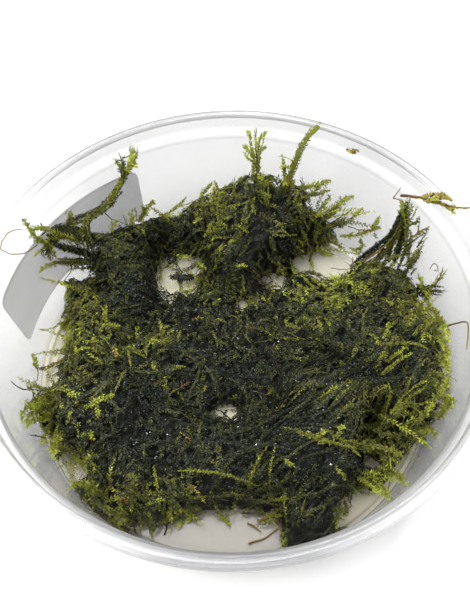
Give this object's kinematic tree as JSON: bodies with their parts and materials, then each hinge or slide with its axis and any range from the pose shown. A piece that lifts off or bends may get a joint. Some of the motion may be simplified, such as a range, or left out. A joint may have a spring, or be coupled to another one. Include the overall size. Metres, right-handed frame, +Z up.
{
  "type": "potted weeping moss",
  "caption": "Low round clear plastic tub holding wet dark green weeping moss in tangled clumps, with a few long shoots standing up along the wall.",
  "frame": {"origin": "centre of the tub's foot, on the surface that it stands on", "axes": "+Z up out of the tub's mouth; -Y towards the side that the tongue of moss reaches; the label is on the -X +Y side"},
  "size_m": [0.117, 0.117, 0.0415],
  "materials": {
    "clear_plastic": "clear to slightly milky, glossy, thin wall",
    "label_paper": "silver grey stuck-on label, satin",
    "moss": "wet dark green moss with yellow green edges",
    "moss_shoot": "wet yellow green moss shoots",
    "dry_stem": "brown dried moss stems"
  },
  "bodies": {
    "root": {"tub": "clear_plastic", "label": "label_paper", "back_clump": "moss", "left_clump": "moss", "front_clump": "moss", "lower_left_clump": "moss", "right_clump": "moss", "centre_mat": "moss", "back_sprig_left": "moss_shoot", "back_sprig_right": "moss_shoot", "left_sprig": "moss_shoot", "right_sprig": "moss_shoot", "rim_strand": "dry_stem", "right_strand": "dry_stem", "floor_stem_long": "dry_stem", "floor_stem_short": "dry_stem"}
  },
  "joints": []
}
